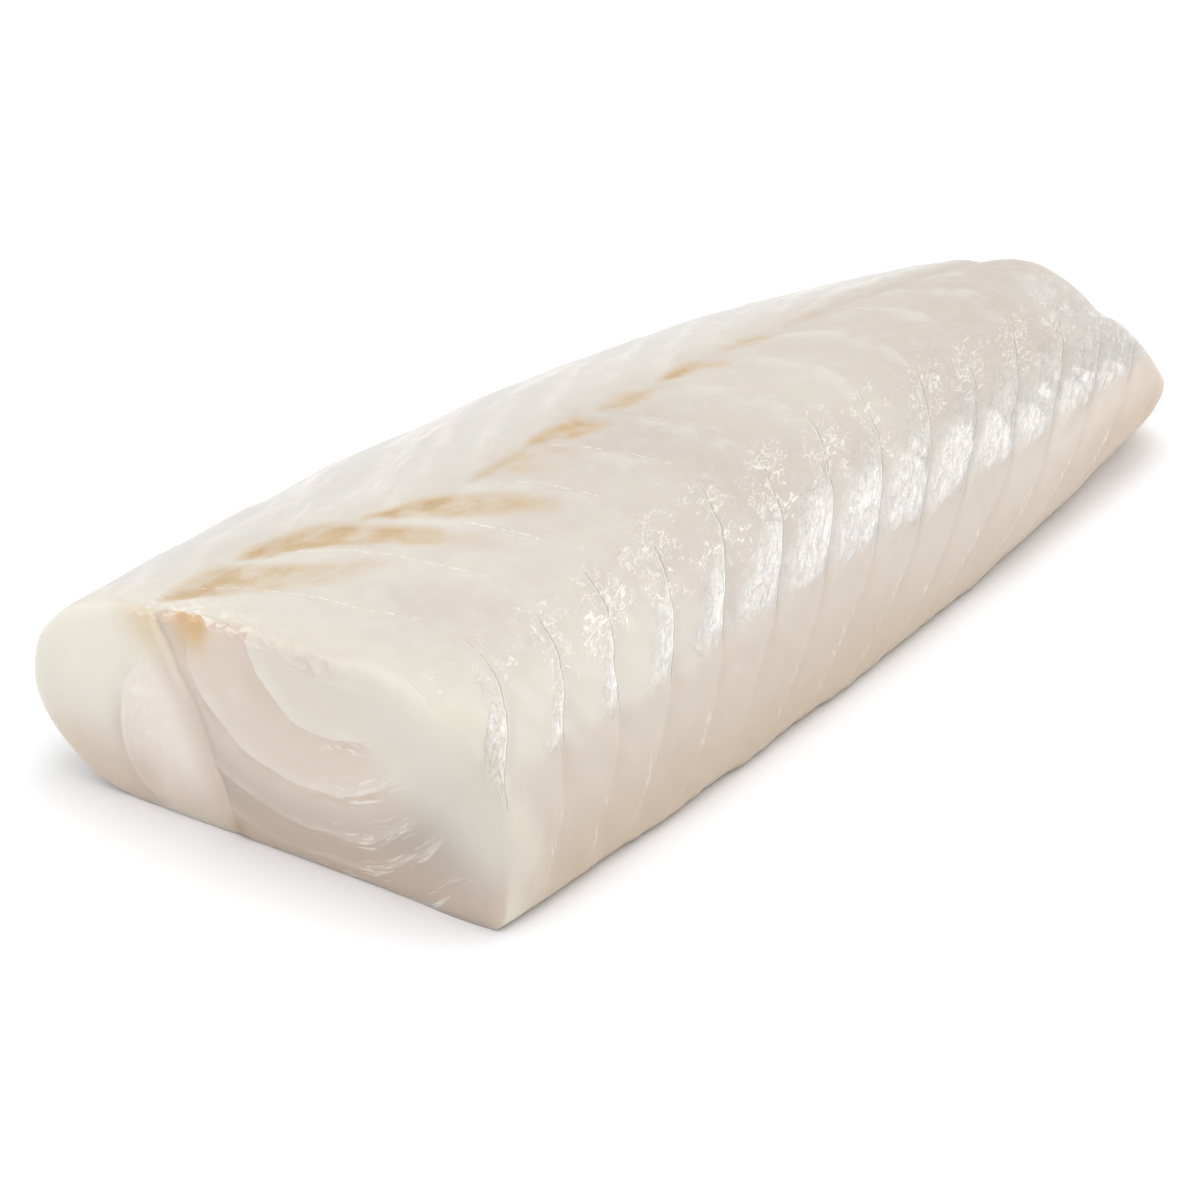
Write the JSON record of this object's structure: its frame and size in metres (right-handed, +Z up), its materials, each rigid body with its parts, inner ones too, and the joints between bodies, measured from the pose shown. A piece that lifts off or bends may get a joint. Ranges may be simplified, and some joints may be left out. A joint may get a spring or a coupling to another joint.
{
  "type": "raw cod loin",
  "caption": "Raw skinless cod loin: a thick tapering piece of white fish fillet with a clean cut face at one end and leaning flakes along its side, lying on a flat underside.",
  "frame": {"origin": "bottom centre of the loin's bounding box, on the flat underside it lies on", "axes": "+X along the loin from the cut face to the thinner far end, +Y across it towards the thin rounded edge, +Z up"},
  "size_m": [0.2184, 0.095, 0.0412],
  "materials": {
    "raw_cod": "moist, translucent raw white fish, ivory with pale pink-grey and light tan areas, semi-gloss with a wetter sheen along the shoulder"
  },
  "bodies": {
    "root": {"cod_loin": "raw_cod"}
  },
  "joints": []
}
